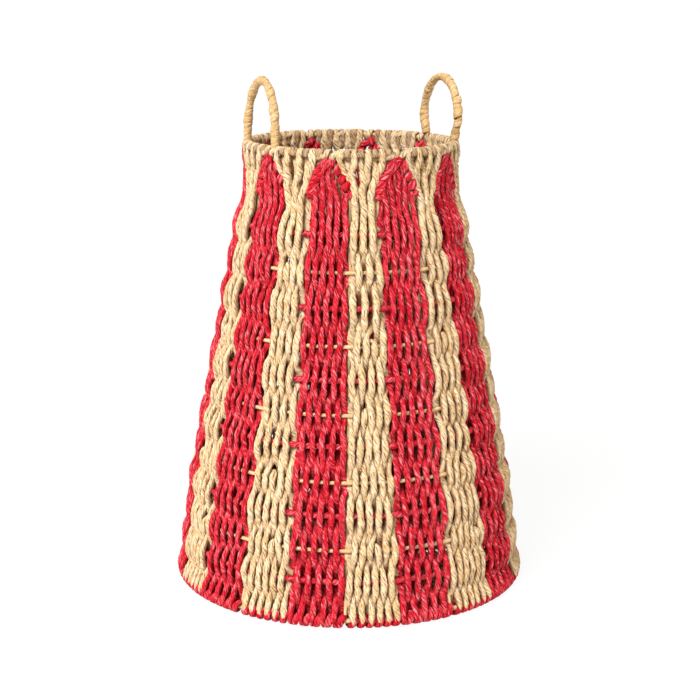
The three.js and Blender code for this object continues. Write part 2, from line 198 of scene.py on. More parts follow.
class Lay:
    """How a rope is twisted: the length of a turn, its strands, its folds and its shade.

    columns are the points of its skin that each strand has across it.
    """

    def __init__(self, random, turn_length, fold_depth, crumple, strands, columns):
        self.random = random
        self.turn_length = turn_length * random.uniform(*TURN_SPREAD)
        self.fold_depth = fold_depth
        self.crumple = crumple
        self.strands = strands
        self.columns = columns
        # The strand that each column is on, and where it is across the strand. The groove is at 0.
        across = SHARP_FOLD if columns == len(SHARP_FOLD) else np.arange(columns) / columns
        self.strand = np.repeat(np.arange(strands), columns)
        self.share = np.tile(across, strands)
        # Where the columns are round the rope. No two strands are alike.
        uneven = random.uniform(-UNEVEN_STRANDS, UNEVEN_STRANDS, strands - 1)
        grooves = (np.arange(strands + 1) + [0, *uneven, 0]) * TURN / strands
        self.angle = grooves[self.strand] + self.share * np.diff(grooves)[self.strand]
        self.phase = random.uniform(0, TURN)
        self.shade = random.uniform(0, 1)
        self.shift = random.uniform(0, 100)


# How each kind of rope is twisted, in the order that Lay asks for
WALL_LAY = (25, DEEP_FOLD, 0.045, 5, 4)
ARCH_LAY = (17, 0.24, 0.05, 4, 4)
HOOP_LAY = (16, 0.2, 0.03, 5, 3)
BINDING_LAY = (24, 0.2, 0.03, 5, 3)
FLOOR_LAY = (19, 0.2, 0.02, 5, 2)
WIRE_LAY = (60, 0.04, 0.006, 4, 2)
HANDLE_LAY = (90, 0.03, 0.006, 4, 4)

# How fast the paper's grain changes round a rope and along it
GRAIN_ROUND = 1.15
GRAIN_LENGTH = 8.0

# Each wander is its wavelength and its strength. A rope that isn't closed wanders in its twist,
# and its strands in their place round it and in their thickness.
TWIST_WANDER = (33, 0.6)
STRAND_WANDER = (12, 0.2)
STRAND_SWELL = (8, 0.07)

# The depth of a groove between two strands: its mean, how it wanders, and its limit
GROOVE_MEAN = 0.55
GROOVE_WANDER = (10, 0.9)
GROOVE_LIMIT = 1.3

# A rope's flanks, and the faces that it turns to the ropes over it, are deep in the weave and get
# painted shade.
FLANK_START = 0.78
FLANK_PAINTED_SHADE = 0.7
SUNK_DEPTH = 3.0

# A rope or strip with shallower folds than this has less painted shade on its flanks.
DARK_FLANK_FOLD = 0.12

# The side that a woven rope turns to the inside of the basket is this dark at these heights.
INSIDE_SHADE = ((290, 345), (0.85, 0.48))
INSIDE_SHARPNESS = 2

# The sizes of the rings of points at the ends of a rope of the wall, and of another rope
WALL_TAPER = (0.5, 0.85, 0.97)
OTHER_TAPER = (0.6, 0.9)


def strand_wander(lay, along, wavelength, strength):
    """A wander for each column of a rope's skin, which neighbouring columns nearly share."""
    per_strand = [wander(lay.random, along, wavelength, strength) for _ in range(lay.strands)]
    each = np.stack([*per_strand, per_strand[0]], -1)
    return each[:, lay.strand] * (1 - lay.share) + each[:, lay.strand + 1] * lay.share


def tube(
    points, across, half_width, half_depth, lay, taper=(), closed=False, offset=None, flanks=1.0
):
    """A twisted rope along points. across is the way that its width lies.

    taper is the size of the rings of points at its ends. offset is how far the rope is outside
    the middle of the wall, where it is woven; it sets the painted shade on the faces deep in the
    weave and on the side turned to the inside. flanks is how much painted shade its flanks get, as
    a share of the painted shade between two ropes.
    """
    count = len(points)
    sides = lay.strands * lay.columns
    along = lengths_along(points)
    turn_length = lay.turn_length
    if closed:
        tangent = unit(np.roll(points, -1, axis=0) - np.roll(points, 1, axis=0))
        whole = along[-1] + np.linalg.norm(points[0] - points[-1])
        turn_length = whole / round(whole / turn_length)
    else:
        tangent = unit(np.gradient(points, axis=0))
    across = unit(across - (across * tangent).sum(-1, keepdims=True) * tangent)
    face = np.cross(across, tangent)
    twist = TURN * along / turn_length
    relief = min(lay.fold_depth / DEEP_FOLD, 1)
    reach = 1 + lay.crumple * lay.random.normal(size=(count, sides))
    strand_shift = 0
    if not closed:
        twist = twist + wander(lay.random, along, *TWIST_WANDER)
        strand_shift = strand_wander(lay, along, *STRAND_WANDER)
        reach = reach + relief * strand_wander(lay, along, *STRAND_SWELL)
    angle = lay.angle - twist[:, None] + lay.phase + strand_shift
    groove = np.zeros((count, sides))
    for column in range(0, sides, lay.columns):
        depth = GROOVE_MEAN + wander(lay.random, along, *GROOVE_WANDER)
        groove[:, column] = np.clip(depth, 0, GROOVE_LIMIT)
    reach = reach - lay.fold_depth * groove
    for ring, size in enumerate(taper):
        reach[[ring, -1 - ring]] *= size
    sideways = (np.broadcast_to(half_width, count)[:, None] * reach * np.sin(angle))[..., None]
    outwards = (np.broadcast_to(half_depth, count)[:, None] * reach * np.cos(angle))[..., None]
    skin = points[:, None] + across[:, None] * sideways + face[:, None] * outwards
    grain = np.broadcast_arrays(
        GRAIN_ROUND * np.cos(lay.angle),
        GRAIN_ROUND * np.sin(lay.angle),
        along[:, None] / GRAIN_LENGTH + lay.shift,
    )
    # Painted shade: in the grooves between strands, on the flanks, on the faces turned to the ropes
    # over this one and on the side turned to the inside of the basket
    crease = groove * relief
    flank = (np.abs(np.sin(angle)) - FLANK_START) / (1 - FLANK_START)
    darkness = flanks * FLANK_PAINTED_SHADE * min(lay.fold_depth / DARK_FLANK_FOLD, 1)
    crease = np.maximum(crease, darkness * np.clip(flank, 0, 1))
    if offset is not None:
        crease = np.maximum(crease, np.clip(-offset[:, None] * np.cos(angle) / SUNK_DEPTH, 0, 1))
        shade = np.interp(points[:, 2], *INSIDE_SHADE)[:, None]
        crease = np.maximum(crease, shade * np.clip(-INSIDE_SHARPNESS * np.cos(angle), 0, 1))
    return rope_part(skin, np.stack(grain, -1), crease, points, closed, lay.shade)


def fan(hub, first, second):
    """Triangles from a hub to each edge between a first and a second corner."""
    return np.stack([np.full(len(first), hub), first, second], -1)


def rope_part(skin, grain, crease, points, closed, shade):
    """The faces over rings of skin points, with a fan at each end unless the rope is closed."""
    count, sides = skin.shape[:2]
    number = np.arange(count * sides).reshape(count, sides)
    rings = np.concatenate([number, number[:1]]) if closed else number
    turned = np.roll(rings, -1, axis=1)
    quads = np.stack([rings[:-1], turned[:-1], turned[1:], rings[1:]], -1).reshape(-1, 4)
    vertices = skin.reshape(-1, 3)
    grains = grain.reshape(-1, 3)
    # The painted shade at each point of the skin
    painted_shades = crease.ravel()
    triangles = np.zeros((0, 3), int)
    if not closed:
        start_fan = fan(len(vertices), turned[0], rings[0])
        end_fan = fan(len(vertices) + 1, rings[-1], turned[-1])
        triangles = np.concatenate([start_fan, end_fan])
        vertices = np.concatenate([vertices, points[[0, -1]]])
        grains = np.concatenate([grains, grain[[0, -1]].mean(1)])
        painted_shades = np.concatenate([painted_shades, [0, 0]])
    return {
        "vertices": vertices,
        "quads": quads,
        "triangles": triangles,
        "grain": grains,
        "crease": painted_shades,
        "shade": np.full(len(vertices), shade),
    }


def new_object(name, data):
    item = bpy.data.objects.new(name, data)
    bpy.context.scene.collection.objects.link(item)
    return item


def make_piece(node, parts, material, slot):
    """One mesh of the parts, riding on the basket and standing for the node."""
    name = node + ("_rope" if slot.endswith("_rope") else "_paper")
    first = np.cumsum([0] + [len(part["vertices"]) for part in parts])
    faces = []
    for kind in ("quads", "triangles"):
        for part, at in zip(parts, first):
            faces += (part[kind] + at).tolist()
    vertices = np.concatenate([part["vertices"] for part in parts]) * MILLIMETRE
    mesh = bpy.data.meshes.new(name)
    mesh.from_pydata(vertices.tolist(), [], faces)
    mesh.polygons.foreach_set("use_smooth", np.ones(len(mesh.polygons), bool))
    grain = mesh.attributes.new("grain", "FLOAT_VECTOR", "POINT")
    grain.data.foreach_set("vector", np.concatenate([part["grain"] for part in parts]).ravel())
    # Each rope's own tone, and the painted shade in its grooves, on its flanks and on its sunk
    # faces
    for label in ("shade", "crease"):
        values = mesh.attributes.new(label, "FLOAT", "POINT")
        values.data.foreach_set("value", np.concatenate([part[label] for part in parts]))
    mesh.materials.append(material)
    mesh.update()
    piece = new_object(name, mesh)
    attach(piece, "root")
    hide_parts(node)


# Camera and light

# The camera and its lens fit the photograph. Its place is in metres and radians.
CAMERA_AZIMUTH = math.radians(-25.1)
CAMERA_DISTANCE = 1.384
CAMERA_HEIGHT = 0.5172
CAMERA_PITCH = 0.2271
CAMERA_ROLL = 0.004
CAMERA_LENS = 84.0
CLIP_END = 200


def make_camera():
    data = bpy.data.cameras.new("camera")
    data.lens = CAMERA_LENS
    data.clip_end = CLIP_END
    camera = new_object("camera", data)
    camera.location = (
        math.sin(CAMERA_AZIMUTH) * CAMERA_DISTANCE,
        -math.cos(CAMERA_AZIMUTH) * CAMERA_DISTANCE,
        CAMERA_HEIGHT,
    )
    turned = Matrix.Rotation(CAMERA_AZIMUTH, 3, "Z")
    turned = turned @ Matrix.Rotation(math.pi / 2 - CAMERA_PITCH, 3, "X")
    turned = turned @ Matrix.Rotation(CAMERA_ROLL, 3, "Z")
    camera.rotation_euler = turned.to_euler()
    bpy.context.scene.camera = camera


KEY_STRENGTH = 3.76
KEY_SOFTNESS = math.radians(24)
KEY_ELEVATION = math.radians(47)
KEY_TURN = CAMERA_AZIMUTH - math.radians(26)
SKY_STRENGTH = 0.4
SKY_COLOUR = (1, 0.91, 0.79, 1)
WHITE = (1, 1, 1, 1)

# The floor reaches this far each way, in metres. Its colour is white by FLOOR_LIFT, and the rest
# takes the light and the shadow.
FLOOR_REACH = 60.0
FLOOR_COLOUR = (0.9, 0.9, 0.9, 1)
FLOOR_LIFT = 0.93


def make_key_light():
    data = bpy.data.lights.new("key", "SUN")
    data.energy = KEY_STRENGTH
    data.angle = KEY_SOFTNESS
    lamp = new_object("key", data)
    lamp.rotation_euler = (math.pi / 2 - KEY_ELEVATION, 0, KEY_TURN)


class Nodes:
    """A node tree with short calls for adding nodes."""

    def __init__(self, tree):
        self.tree = tree
        tree.nodes.clear()

    def add(self, kind, inputs, **settings):
        """A node of this kind. Each of its inputs is a value or the output that it is joined to."""
        node = self.tree.nodes.new(kind)
        for name, value in settings.items():
            setattr(node, name, value)
        for name, value in inputs.items():
            if isinstance(value, bpy.types.NodeSocket):
                self.tree.links.new(value, node.inputs[name])
            else:
                node.inputs[name].default_value = value
        return node

    def math(self, operation, *values, clamp=False):
        inputs = dict(enumerate(values))
        return self.add("ShaderNodeMath", inputs, operation=operation, use_clamp=clamp).outputs[0]

    def noise(self, vector, **values):
        return self.add("ShaderNodeTexNoise", {"Vector": vector, **values}).outputs[0]

    def end_with_mix(self, kind, share, first, second):
        """The output of this kind shows the second shader by the share, and the first else."""
        inputs = {"Fac": share, 1: first.outputs[0], 2: second.outputs[0]}
        mix = self.add("ShaderNodeMixShader", inputs)
        self.add(kind, {"Surface": mix.outputs[0]})

    def seen_directly(self):
        """1 for rays that show the background: from the camera, in gloss and through glass."""
        path = self.add("ShaderNodeLightPath", {})
        seen = self.math("ADD", path.outputs["Is Camera Ray"], path.outputs["Is Glossy Ray"])
        return self.math("ADD", seen, path.outputs["Is Transmission Ray"], clamp=True)


def make_world():
    world = bpy.data.worlds.new("studio")
    bpy.context.scene.world = world
    world.use_nodes = True
    nodes = Nodes(world.node_tree)
    light = nodes.add("ShaderNodeBackground", {"Strength": SKY_STRENGTH, "Color": SKY_COLOUR})
    backdrop = nodes.add("ShaderNodeBackground", {"Color": WHITE})
    nodes.end_with_mix("ShaderNodeOutputWorld", nodes.seen_directly(), light, backdrop)


def make_floor():
    mesh = bpy.data.meshes.new("studio_floor")
    edges = (-FLOOR_REACH, FLOOR_REACH)
    corners = [(x, y, 0) for x in edges for y in edges]
    mesh.from_pydata(corners, [], [(0, 2, 3, 1)])
    material = bpy.data.materials.new("studio_floor")
    material.use_nodes = True
    nodes = Nodes(material.node_tree)
    diffuse = nodes.add("ShaderNodeBsdfDiffuse", {"Color": FLOOR_COLOUR})
    glow = nodes.add("ShaderNodeEmission", {"Color": WHITE})
    lift = nodes.math("MULTIPLY", nodes.seen_directly(), FLOOR_LIFT)
    nodes.end_with_mix("ShaderNodeOutputMaterial", lift, diffuse, glow)
    mesh.materials.append(material)
    floor = new_object("studio_floor", mesh)


# Materials

# What the paper's tint is made of: its creases, which paint shade into the folds and a highlight
# onto the ridges, its fine grain and the shade of each rope
RIDGE_TINT = 0.75
FINE_TINT = 0.5
SHADE_TINT = 0.12
TINT_SHIFT = -0.05

# Where the painted shade of the folds, the colour of most of the paper and the painted highlight of
# its ridges are along the tint
FOLD_TINT = 0.18
MAIN_TINT = 0.5
FULL_RIDGE_TINT = 0.92

RIDGE_SHARPNESS = 5.0
FINE_HEIGHT = 0.45
FLECK_START = 0.64
# How much of the painted shade colour the fullest painted shade takes on
PAINTED_SHADE_STRENGTH = 0.94
BUMP_STRENGTH = 0.9
PAPER_GLOSS = 0.04


def paper(name, colours, roughness, crease_depth, fleck=0.0):
    """Twisted or wound paper: creases along the grain, a shade for each rope, and flecks.

    colours are the painted highlight of the ridges, the colour of most of the paper, the painted
    shade of its folds and the painted shade of the deep grooves, the flanks and the faces deep in
    the weave.
    fleck is how sharp the dark flecks are, or 0 for none.
    """
    painted_highlight_colour, main_colour, painted_fold_shade_colour, painted_groove_shade_colour = colours
    material = bpy.data.materials.new(name)
    material.use_nodes = True
    nodes = Nodes(material.node_tree)
    # The grain, each rope's own tone and its painted shade, as the mesh holds them
    grain, shade, crease = (
        nodes.add("ShaderNodeAttribute", {}, attribute_name=label)
        for label in ("grain", "shade", "crease")
    )
    vector = grain.outputs["Vector"]
    folds = nodes.noise(vector, Scale=1.0, Detail=3.0, Roughness=0.55, Distortion=0.35)
    fine = nodes.noise(vector, Scale=3.3, Detail=2.0)
    ridge = nodes.math("ABSOLUTE", nodes.math("SUBTRACT", folds, 0.5))
    ridge = nodes.math("MULTIPLY", ridge, RIDGE_SHARPNESS, clamp=True)
    height = nodes.math("ADD", ridge, nodes.math("MULTIPLY", fine, FINE_HEIGHT))
    tint = nodes.math("MULTIPLY", shade.outputs["Fac"], SHADE_TINT)
    tint = nodes.math("ADD", tint, nodes.math("MULTIPLY", ridge, RIDGE_TINT))
    tint = nodes.math("ADD", tint, nodes.math("MULTIPLY", fine, FINE_TINT))
    tint = nodes.math("ADD", tint, TINT_SHIFT, clamp=True)
    if fleck:
        dots = nodes.math("SUBTRACT", nodes.noise(vector, Scale=4.0, Detail=1.0), FLECK_START)
        dots = nodes.math("MULTIPLY", dots, fleck, clamp=True)
        tint = nodes.math("SUBTRACT", tint, dots, clamp=True)
    # The tint paints shade into the folds and a highlight onto the ridges.
    ramp = nodes.add("ShaderNodeValToRGB", {0: tint})
    colours_along = ramp.color_ramp.elements
    colours_along[0].color = (*painted_fold_shade_colour, 1)
    colours_along[0].position = FOLD_TINT
    colours_along[1].color = (*painted_highlight_colour, 1)
    colours_along[1].position = FULL_RIDGE_TINT
    colours_along.new(MAIN_TINT).color = (*main_colour, 1)
    # The painted shade of the grooves, the flanks and the faces deep in the weave
    depth = nodes.math("MULTIPLY", crease.outputs["Fac"], PAINTED_SHADE_STRENGTH, clamp=True)
    inputs = {"Factor": depth, "A": ramp.outputs[0], "B": (*painted_groove_shade_colour, 1)}
    groove = nodes.add("ShaderNodeMix", inputs, data_type="RGBA")
    distance = crease_depth * MILLIMETRE
    inputs = {"Strength": BUMP_STRENGTH, "Distance": distance, "Height": height}
    bump = nodes.add("ShaderNodeBump", inputs)
    inputs = {
        "Base Color": groove.outputs["Result"],
        "Roughness": roughness,
        "Specular IOR Level": PAPER_GLOSS,
        "Normal": bump.outputs[0],
    }
    surface = nodes.add("ShaderNodeBsdfPrincipled", inputs)
    nodes.add("ShaderNodeOutputMaterial", {"Surface": surface.outputs[0]})
    return material


# The four colours of each paper, in the order that paper() asks for: a painted highlight on the
# ridges, the paper's own colour, a painted shade in the folds and a deeper painted shade
RED = ((0.97, 0.27, 0.3), (0.79, 0.03, 0.052), (0.46, 0.003, 0.011), (0.12, 0.0, 0.001))
NATURAL = ((0.94, 0.765, 0.57), (0.935, 0.725, 0.44), (0.61, 0.33, 0.1), (0.15, 0.025, 0.001))
WIRE_NATURAL = ((0.92, 0.74, 0.48), (0.85, 0.62, 0.33), (0.6, 0.37, 0.15), (0.25, 0.1, 0.02))
HANDLE_NATURAL = ((0.83, 0.61, 0.36), (0.75, 0.5, 0.24), (0.52, 0.29, 0.1), (0.25, 0.09, 0.015))

red_rope = paper("red_rope", RED, 0.6, 0.7)
natural_rope = paper("natural_rope", NATURAL, 0.6, 0.7, fleck=6.0)
red_wound = paper("red_wound", RED, 0.55, 0.4)
natural_wound = paper("natural_wound", WIRE_NATURAL, 0.5, 0.2)
handle_paper = paper("handle_paper", HANDLE_NATURAL, 0.6, 0.5, fleck=6.0)


# Ropes of the wall. They weave from row to row: the bottom ring is row 0, and the hoops come next.

# Woven by hand, the hoops are a little above or below their even places.
HOOP_NAMES = sorted((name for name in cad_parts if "_hoop_" in name), key=centre_height)
HOOP_SHIFTS = (0, -0.8, 0.9, 0.4, 2.0, -0.7, -0.7, -2.0, -0.4, -0.8, 0)
HOOPS = [(centre_height(name) + shift, name) for name, shift in zip(HOOP_NAMES, HOOP_SHIFTS)]

# Half the thickness of a hoop where a rope presses its paper, and how much more it is elsewhere
RED_HOOP_HALF = 2.35
NATURAL_HOOP_HALF = 1.4
HOOP_PAPER = 0.22


def hoop_half(name):
    return RED_HOOP_HALF if name.startswith("red") else NATURAL_HOOP_HALF


# How far a rope swings out from the middle of the wall at each row
BOTTOM_SWING = 4.8
ROW_HEIGHTS = np.array([BOTTOM_RING_HEIGHT] + [height for height, _ in HOOPS])
ROW_SWINGS = np.array([BOTTOM_SWING] + [hoop_half(name) + CROSSING_DEPTH for _, name in HOOPS])

# The reach of a rope's loop, outwards and up or down, at the bottom ring, a hoop and the top ring
RED_LOOP = (4.7, 3.9)
NATURAL_LOOP = (4.5, 2.3)
HOOP_LOOP = (3.6, 3.4)
RIM_LOOP = (3.5, 3.5)

# Half the depth of a rope on the top ring
RIM_DEPTH = 1.45

# Where a rope's way to the rim or into the arch begins
LAST_CROSSING = 328

# The ropes of each natural stripe, from its left edge to its right as seen from outside. A dash is
# a rope that reaches the rim. A number is the hoop that a rope starts at, counted from 0 at the
# foot. Each two such ropes are the legs of one rope that hangs over the hoop.
NATURAL_STARTS = [
    "--77-5511---",
    "---99-33-11-",
    "-7711--55---",
    "---5577--11-",
    "--99-11-33--",
    "-33--77-11--",
    "--9933-11---",
    "---55-1177--",
    "---7733-11--",
    "--11-7755---",
]


def swing(height, front_first):
    """How far a rope is outside the middle of the wall, weaving from row to row."""
    levels = (1 if front_first else -1) * (-1) ** np.arange(len(ROW_HEIGHTS)) * ROW_SWINGS
    row = np.clip(np.searchsorted(ROW_HEIGHTS, height) - 1, 0, len(ROW_HEIGHTS) - 2)
    share = (height - ROW_HEIGHTS[row]) / (ROW_HEIGHTS[row + 1] - ROW_HEIGHTS[row])
    share = (1 - np.cos(np.pi * np.clip(share, 0, 1))) / 2
    return levels[row] * (1 - share) + levels[row + 1] * share


# The ends of a rope are lines of points: how far outside the middle of the wall, and the height.


def loop_line(reach, height, start, end, points=14):
    """A loop round a ring or hoop at this height, from the start angle to the end angle."""
    turn = np.linspace(start, end, points)
    return np.stack([reach[0] * np.cos(turn), height + reach[1] * np.sin(turn)], -1)


def base_end(front, loop):
    """The foot of a rope: round the bottom ring with this loop, or tucked behind the ring."""
    if not front:
        return [(-4.2, 3.4), (-4.8, BOTTOM_RING_HEIGHT)]
    return [(-4.2, 15), (-4.7, 10), *loop_line(loop, BOTTOM_RING_HEIGHT, -math.pi, 0)]


def rim_end(random, front):
    """From the last hoop to the rim: over the top ring from outside, or from inside."""
    loop = loop_line(RIM_LOOP, TOP_RING_HEIGHT, 0, math.pi)
    if front:
        rise = [(-3.2, LAST_CROSSING), (-2.2, 344), (0.2, 358), (2.6, 368)]
        return [*rise, *loop, (-3.4, 371), (-2.8, 365), (-1.6, 360)]
    end = random.uniform(372.4, 374.6)
    rise = [(3.1, LAST_CROSSING), (2.5, 344), (1.2, 356), (-1.4, 367)]
    return [*rise, *(loop * [-1, 1]), (3.6, end + 0.9), (2.9, end)]


def arch_end(front, end_height):
    """From the last hoop to an end under the arch, where front and back ropes come together."""
    middle_height = 330 + 0.55 * (end_height - 330)
    offsets = (2.6, 1.9, 0.8) if front else (-1.8, -0.9, -0.3)
    return list(zip(offsets, (LAST_CROSSING, middle_height, end_height)))


def hoop_end(row, front):
    """A rope's end at a hoop: over it from the front, or at the back where that one comes down."""
    height = ROW_HEIGHTS[row]
    if not front:
        return [(-HOOP_LOOP[0], height)]
    return [*loop_line(HOOP_LOOP, height + 0.4, 0, math.pi, 12), (-HOOP_LOOP[0], height - 4)]


# A rope crosses over a little above or below the middle between two rows, but not near its ends.
CROSSING_DRIFT = (76, 4.0)
DRIFT_START = (14, 34)
DRIFT_END = 16

# A rope's line is made smooth at steps of this length.
LINE_STEP = 0.6
SMOOTHING = np.hanning(9)[1:-1] / np.hanning(9).sum()


def weave_line(random, front_first, top_row, top, loop):
    """Offsets and heights of a whole rope, at even steps along it."""
    wall = np.arange(ROW_HEIGHTS[0] + 1, ROW_HEIGHTS[top_row], 1.0)
    free = between(wall, *DRIFT_START, wall[-1] - DRIFT_END, wall[-1])
    drift = wander(random, wall, *CROSSING_DRIFT) * free
    woven = np.stack([swing(wall + drift, front_first), wall], -1)
    line = np.concatenate([base_end(front_first, loop), woven, top])
    along = lengths_along(line)
    dense = at_lengths(line, along, np.arange(0, along[-1], LINE_STEP))
    margin = len(SMOOTHING) // 2
    padded = np.pad(dense, ((margin, margin), (0, 0)), mode="edge")
    smooth = np.stack([np.convolve(column, SMOOTHING, "valid") for column in padded.T], -1)
    smooth[0], smooth[-1] = dense[0], dense[-1]
    return smooth[:: round(ROPE_STEP / LINE_STEP)]


# A natural stripe's ropes leave the rib at their left in sight. They cover the rib at their right
# by so much at these heights.
RIB_IN_SIGHT = 0.2
RIB_COVER = ((60, 300), (2.4, 0.2))

# The distances from a red stripe's ropes to the natural ones at their left and to their right rib
RED_GAPS = (0.6, 1.4)


def band(left, right, widest, ropes):
    """The middle of the ropes that fill the arc from left to right, and the room for each one."""
    spread = (right - left) / 2 - widest
    return (left + right) / 2, 2 * spread / (ropes - 1)


def red_band(height):
    reach = middle_radius(height) * red_half(height)
    cover = np.interp(height, *RIB_COVER)
    widest = np.interp(height, WIDEST_HEIGHTS, RED_WIDEST)
    return band(cover + RED_GAPS[0] - reach, reach - RED_GAPS[1], widest, RED_ROPES)


def natural_band(height, ropes):
    reach = middle_radius(height) * (STRIPE - red_half(height))
    cover = np.interp(height, *RIB_COVER)
    widest = np.interp(height, WIDEST_HEIGHTS, NATURAL_WIDEST)
    return band(RIB_IN_SIGHT - reach, reach + cover, widest, ropes)


# The room of a rope that ends at a hoop closes over this height above the hoop.
CLOSING = 15


def natural_places(pair, height):
    """How many ropes each rope is from the stripe's middle, and how many there are, by height."""
    starts = NATURAL_STARTS[pair]
    shares = np.ones((len(starts), len(height)))
    for number, start in enumerate(starts):
        if start != "-":
            top = ROW_HEIGHTS[int(start) + 1]
            shares[number] = 1 - eased(height, top + 1, top + CLOSING)
    total = shares.sum(0)
    return np.cumsum(shares, 0) - shares / 2 - total / 2, total


# How much wider a rope is at the back of the wall, how much painted shade it has there and how much
# painted shade its flanks have, inside a stripe and at its edges
INNER_ROPE = (0.12, 1.0, 1.0)
EDGE_ROPE = (0.45, 0.15, 0.35)

# Neighbours press a rope that is less than this far from the middle of the wall, and it fills this
# much of its room. A rope that nothing presses is this round.
PRESSED_OFFSET = 2.6
PRESSED_WIDTH = 1.11
ROUNDNESS = 0.88


def rope_widths(offset, pitch, widest, flat, flat_width, widening):
    """Half width and half depth of a rope that is pressed by its neighbours.

    flat is how far it is flattened over a ring, from 0 to 1.
    """
    overlap = np.clip(1 - (offset / PRESSED_OFFSET) ** 2, 0.02, 1)
    pressed = PRESSED_WIDTH * pitch / 2 / np.sqrt(overlap)
    width = np.minimum(pressed, widest * (1 + widening * eased(-offset, 0.5, 3)))
    window = np.array([1, 2, 1]) / 4
    width = np.convolve(np.pad(width, 1, mode="edge"), window, "valid")
    depth = np.clip(ROUNDNESS * widest**2 / width, CROSSING_DEPTH - 0.05, DEEPEST)
    return width + (flat_width - width) * flat, depth + (RIM_DEPTH - depth) * flat


# How a rope of the wall wanders sideways, in and out, and in its width, and how much looser it is
# under the rim
SIDE_WANDER = (36, 0.6)
OFFSET_WANDER = (33, 0.25)
WIDTH_WANDER = (15, 0.11)
LOOSER = 0.8
LOOSE_HEIGHTS = (314, 332)

# The heights over which it comes to its place at the top ring and turns flat, and those between
# which it is woven
STILL_HEIGHTS = (TOP_RING_HEIGHT - 14, TOP_RING_HEIGHT - 5)
RIM_TURN_HEIGHTS = (TOP_RING_HEIGHT - 6, TOP_RING_HEIGHT - 1)
WOVEN_HEIGHTS = (8, 22, 320, 346)

# Half the width of a rope on a ring, how flat it is on the bottom ring, and how much narrower there
LIP = (2.2, 3.1)
BOTTOM_FLATNESS = 0.7
BOTTOM_NARROWING = 0.4


def wall_rope(random, centre, line, arc, pitch, widest, at_edge=False):
    """One rope of a stripe. arc is how far it is round the wall from the stripe's middle."""
    widening, sunk, flanks = EDGE_ROPE if at_edge else INNER_ROPE
    offset, height = line[:, 0], line[:, 1]
    radius = middle_radius(height)
    along = lengths_along(line)
    still = eased(height, *STILL_HEIGHTS)
    loose = 1 + LOOSER * eased(height, *LOOSE_HEIGHTS)
    arc = arc + loose * wander(random, along, *SIDE_WANDER) * (1 - still)
    offset = offset + wander(random, along, *OFFSET_WANDER) * (1 - still)
    points = wall_points(centre + arc / radius, offset, height)
    over_ring = eased(height, *RIM_TURN_HEIGHTS)
    under_ring = BOTTOM_FLATNESS * eased(-height, -9, -4)
    widest = np.interp(height, WIDEST_HEIGHTS, widest)
    lip = random.uniform(*LIP)
    flat = np.maximum(over_ring, under_ring)
    width, depth = rope_widths(offset, pitch, widest, flat, lip, widening)
    tip = 1 - BOTTOM_NARROWING * eased(-height, -13, -4)
    width = width * (1 + wander(random, along, *WIDTH_WANDER)) * tip
    across = round_wall(centre + arc / radius)
    # How far the rope is behind or before the middle of the wall, for the painted shade deep in the
    # weave
    woven = sunk * offset * between(height, *WOVEN_HEIGHTS)
    lay = Lay(random, *WALL_LAY)
    return tube(points, across, width, depth, lay, WALL_TAPER, offset=woven, flanks=flanks)


# The share of its offset that a rope at a stripe's edge spreads by, before a hoop and behind it,
# and the places across the stripe where the edge begins and is full
EDGE_SWAY = (0.12, -0.26)
EDGE = (0.6, 0.95)


def edge_sway(place, offset):
    """How far a rope spreads sideways at a hoop. place is across the stripe, from -1 to 1."""
    sway = np.where(offset > 0, *EDGE_SWAY) * offset
    return np.sign(place) * eased(np.abs(place), *EDGE) * sway


# A natural stripe is narrower beside the turns round the arches, by this share.
ARCH_SQUEEZE = 0.2
SQUEEZE_HEIGHTS = (318, 334, 352, 366)

# Under the rim, its ropes lean together in pairs by this much.
RIM_PAIRING = (0.7, 1.6)
PAIRING_HEIGHTS = (336, 350, 362, 371)

# Elements of the lip for each pair of stripes, and the angle between them
RIM_ELEMENTS = 10
RIM_STEP = math.radians(360 / PAIRS / RIM_ELEMENTS)


def natural_stripe(random, pair):
    centre = pair * 2 * STRIPE
    starts = NATURAL_STARTS[pair]
    at_rim = -3.0
    parts = []
    for number, start in enumerate(starts):
        front_first = number % 2 == 1
        if start == "-":
            # The ropes that reach the rim take turns at the last hoop as well.
            top = rim_end(random, front_first)
            line = weave_line(random, front_first, -1, top, NATURAL_LOOP)
            at_rim += 1
        else:
            row = int(start) + 1
            over = front_first == (row % 2 == 0)
            line = weave_line(random, front_first, row, hoop_end(row, over), NATURAL_LOOP)
            partner = number + (1 if starts[: number + 1].count(start) % 2 else -1)
        offset, height = line[:, 0], line[:, 1]
        places, ropes = natural_places(pair, height)
        place = places[number]
        if start != "-" and over:
            over_hoop = eased(height, ROW_HEIGHTS[row] - 6, ROW_HEIGHTS[row])
            turned = eased(-offset, -2.6, 2.6) * over_hoop
            place = place + (places[partner] - place) * turned
        middle, pitch = natural_band(height, ropes)
        arc = middle + place * pitch + edge_sway(2 * place / ropes, offset)
        if start == "-":
            beside_arch = eased(height, ARCH_START - 12, ARCH_START + 12)
            above = middle_radius(height) * RIM_STEP
            arc = arc + ((at_rim - 0.5) * above - arc) * beside_arch
            pitch = pitch + (above - pitch) * beside_arch
            squeeze = 1 - ARCH_SQUEEZE * between(height, *SQUEEZE_HEIGHTS)
            to_partner = random.uniform(*RIM_PAIRING) * (1 if at_rim % 2 == 0 else -1)
            arc = arc * squeeze + to_partner * between(height, *PAIRING_HEIGHTS)
            pitch = pitch * squeeze
        at_edge = number in (0, len(starts) - 1)
        parts.append(wall_rope(random, centre, line, arc, pitch, NATURAL_WIDEST, at_edge))
    parts += [shoulder_rope(random, centre, side) for side in (-1, 1)]
    make_piece(f"natural_stripe_{pair + 1:02d}", parts, natural_rope, "natural_rope")


# The short ropes beside an arch: where they begin, how far from the arch, over what height they
# reach their place at the rim, and their room and half width
SHOULDER_START = 349.0
SHOULDER_GAP = 4.4
SHOULDER_RISE = 22
SHOULDER_PITCH = 4.6
SHOULDER_WIDEST = (2.4, 2.4)


